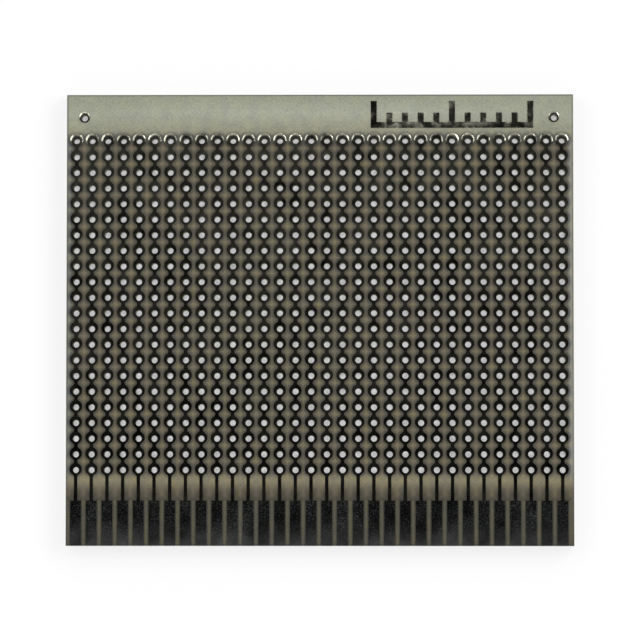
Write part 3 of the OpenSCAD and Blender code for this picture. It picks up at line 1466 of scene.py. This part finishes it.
        # Painted shade beside the leads, in a narrower band beside the fingers.
        beside_leads = y.slide(*(PLAN.last_y - reach for reach in self.lead_zone))
        finger_end = PLAN.low.y + PLAN.finger_length
        reach = away * y.slide(finger_end + self.finger_edge, finger_end - self.finger_edge,
                               1.0, self.finger_nearness)
        upper = s.mix(beside_leads, upper,
                      s.ramp(reach, self.lead_shade, self.lead_shade_reach), "MULTIPLY")
        # Painted shade of the copper on the underside.
        shadowed = away.slide(self.ghost_reach, 0.0, 1.0, 1.0 - self.ghost, soft=True)
        lower = s.tint(self.underside, shadowed)
        plain = s.mix(z.over((PLAN.low.z + PLAN.high.z) / 2), lower, upper)
        patch = s.out(noise, "Patch")
        hue = s.mix(patch.slide(*self.hue_range), self.ashen, self.olive)
        calm = y.slide(PLAN.first_y, PLAN.first_y + self.calm_reach, 0.0, self.band_calm)
        mottled = s.mix(1.0, plain, s.mix(calm, hue, self.plain_hue), "MULTIPLY")
        wave = 2 * math.pi / self.weave_pitch
        weave = (x * wave).math("SINE") * (y * wave).math("SINE")
        fine = s.out(noise, "Grain") - 0.5
        drift = s.out(noise, "Drift") - 0.5
        blotch = (patch - 0.5) * y.slide(PLAN.high.y, PLAN.first_y, self.rear_blotch, 1.0)
        uneven = (weave * self.weave_tone + fine * self.grain_tone + drift * self.drift_tone
                  + blotch * self.patch_tone)
        toned = s.tint(mottled, uneven + 1.0)
        relief = weave * 0.5 + 0.5 + fine * self.fine_share
        # The face's border gets a painted dark line of shade.
        s.set(Base_Color=s.mix(self._painted_edge_shade(x, y), toned, self.line),
              Roughness=self.roughness, Normal=s.bump(relief, self.weave_height))
        return s.material


@dataclass(frozen=True)
class EpoxyCut:
    """Glass epoxy where it was sawn or drilled: pale, with the plies of glass cloth showing, and
    painted shade near the plate's outer sides.
    """

    pale: tuple = colour(196, 194, 170)
    dark: tuple = colour(150, 146, 118)
    ply: float = 0.18 * MM
    # Painted shade: the cut is darker near the plate's outer sides.
    rim_shade: float = 0.15
    rim_width: float = 0.2 * MM
    ply_share: float = 0.6
    fibre_stretch: tuple = (0.4, 0.4, 3.0)
    fibre_height: float = 0.02 * MM
    roughness: float = 0.7
    patch_scale: float = 900.0
    grain_scale: float = 6000.0

    def material(self, grain: Graph) -> bpy.types.Material:
        """Build the material.

        Args:
            grain: Shader group of uneven surfaces.

        Returns:
            The material.
        """
        s = Surface("glass_epoxy_cut")
        place = s.object_place()
        x, y, z = s.split(place)
        stretched = s.vector(*(axis * share for axis, share in zip((x, y, z), self.fibre_stretch)))
        noise = s.place(grain, {"Place": stretched, "Patch Scale": self.patch_scale,
                                "Grain Scale": self.grain_scale})
        plies = (z * (2 * math.pi / self.ply)).math("SINE") * 0.5 + 0.5
        fibre = plies * self.ply_share + s.out(noise, "Grain") * (1.0 - self.ply_share)
        # Painted shade that darkens the cut towards the plate's outer sides.
        sawn = Plate().inside(x, y).slide(0.0, self.rim_width, self.rim_shade, 1.0)
        fibres = s.mix(fibre, self.dark, self.pale)
        s.set(Base_Color=s.tint(fibres, sawn), Roughness=self.roughness,
              Normal=s.bump(fibre, self.fibre_height))
        return s.material


@dataclass(frozen=True)
class Lamp:
    """A soft lamp, hung low around the board and aimed at it.

    The azimuth runs from the rear towards the right, and both angles are in degrees.
    """

    name: str
    azimuth: float
    elevation: float
    power: float
    distance: float = 3.0
    width: float = 3.2
    height: float = 0.8

    def hang(self) -> None:
        """Add the lamp."""
        data = bpy.data.lights.new(self.name, "AREA")
        data.shape = "RECTANGLE"
        data.size = self.width
        data.size_y = self.height
        data.energy = self.power
        lamp = bpy.data.objects.new(self.name, data)
        lamp.visible_camera = False
        turn = math.radians(self.azimuth)
        rise = math.radians(self.elevation)
        aim = Vector((math.sin(turn) * math.cos(rise), math.cos(turn) * math.cos(rise),
                      math.sin(rise)))
        lamp.location = aim * self.distance
        lamp.rotation_euler = (-aim).to_track_quat("-Z", "Y").to_euler()
        bpy.context.scene.collection.objects.link(lamp)


@dataclass(frozen=True)
class Studio:
    """Pale floor, soft lamps and a room that is pale at the horizon and dark overhead."""

    lamps: tuple = (
        Lamp("softbox_left", azimuth=-62.0, elevation=26.0, power=37.0, width=2.4, height=1.1),
        Lamp("strip_right", azimuth=64.0, elevation=23.0, power=90.0),
    )
    horizon: float = 2.9
    horizon_start: float = 0.46
    horizon_full: float = 0.22
    sky_front: float = 0.09
    sky_rear: float = 2.2
    sky_rear_start: float = 0.3
    sky_rear_power: float = 3.0
    floor_size: float = 12.0
    floor_gap: float = 0.05 * MM
    floor_colour: tuple = (0.2, 0.2, 0.2, 1.0)
    floor_roughness: float = 0.9
    floor_shine: float = 0.8
    # Painted shadow: the floor's dimmer, uneven glow under the board, seen through the holes.
    shadowed_shine: float = 0.5
    covered_spread: float = 0.45
    covered_scale: float = 1100.0
    shadow_edge: float = 1.5 * MM

    def light(self) -> None:
        """Hang the lamps and paint the room."""
        for lamp in self.lamps:
            lamp.hang()
        room = Room()
        bpy.context.scene.world = room.world
        _, rearward, upward = room.split(room.direction())
        glow = upward.slide(self.horizon_start, self.horizon_full, 0.0, self.horizon, soft=True)
        rise = rearward.slide(self.sky_rear_start, 1.0).math("POWER", self.sky_rear_power)
        room.paint(glow + rise * self.sky_rear + self.sky_front)

    def _floor_material(self) -> bpy.types.Material:
        """Pale paper, which the camera and mirrors see as a white background, with a painted shadow
        that dims its glow under the board.

        Returns:
            The material.
        """
        s = Surface("pale_floor")
        place = s.object_place()
        x, y, _ = s.split(place)
        # Painted shadow under the board, unevenly dimmed, fading in from the board's outline.
        uneven_shadow = s.out(s.add("ShaderNodeTexNoise", {"Vector": place, "Scale": self.covered_scale,
                                                   "Detail": 1.0})) - 0.5
        covered = uneven_shadow * self.covered_spread + self.shadowed_shine
        shine = Plate().inside(x, y).slide(0.0, self.shadow_edge, self.floor_shine, covered,
                                           soft=True)
        ray = s.add("ShaderNodeLightPath")
        seen = s.out(ray, "Is Camera Ray").most(s.out(ray, "Is Glossy Ray")).most(
            s.out(ray, "Is Transmission Ray"))
        s.set(Base_Color=self.floor_colour, Roughness=self.floor_roughness,
              Specular_IOR_Level=0.0, Emission_Color=(1.0, 1.0, 1.0, 1.0),
              Emission_Strength=seen * shine)
        return s.material

    def floor(self) -> None:
        """Lay the floor."""
        half = self.floor_size / 2
        z = PLAN.low.z - self.floor_gap
        mesh = bpy.data.meshes.new("floor")
        mesh.from_pydata([(-half, -half, z), (half, -half, z), (half, half, z), (-half, half, z)],
                         [], [(0, 1, 2, 3)])
        mesh.materials.append(self._floor_material())
        floor = bpy.data.objects.new("floor", mesh)
        bpy.context.scene.collection.objects.link(floor)


@dataclass(frozen=True)
class Camera:
    """Camera of the photograph: far above the board, a little to its front and right."""

    place: tuple = (10.0 * MM, -30.0 * MM, 600.0 * MM)
    turn: tuple = (0.04998, 0.01663, 0.00026)
    lens: float = 208.13
    sensor: float = 36.0
    nearest: float = 0.01
    farthest: float = 20.0

    def set_up(self) -> None:
        """Add the camera and look through it."""
        data = bpy.data.cameras.new("camera")
        data.sensor_width = self.sensor
        data.lens = self.lens
        data.clip_start = self.nearest
        data.clip_end = self.farthest
        camera = bpy.data.objects.new("camera", data)
        camera.location = self.place
        camera.rotation_euler = self.turn
        bpy.context.scene.collection.objects.link(camera)
        bpy.context.scene.camera = camera


def main() -> None:
    """Build and dress the board, and set it in the studio."""
    logging.basicConfig(level=logging.INFO, format="%(name)s: %(message)s")
    bpy.context.scene.view_settings.view_transform = "Standard"
    Camera().set_up()
    grain = grain_group()
    tin = Tin().material(grain)
    Plate().make(EpoxyFace().material(grain, copper_distance_group()), EpoxyCut().material(grain))
    cell = PadCell()
    TrackMaker(cell, Tail()).make(tin)
    CornerPads(cell).make(tin)
    ScaleBar().make(tin)
    studio = Studio()
    studio.light()
    studio.floor()


if __name__ == "__main__":
    main()
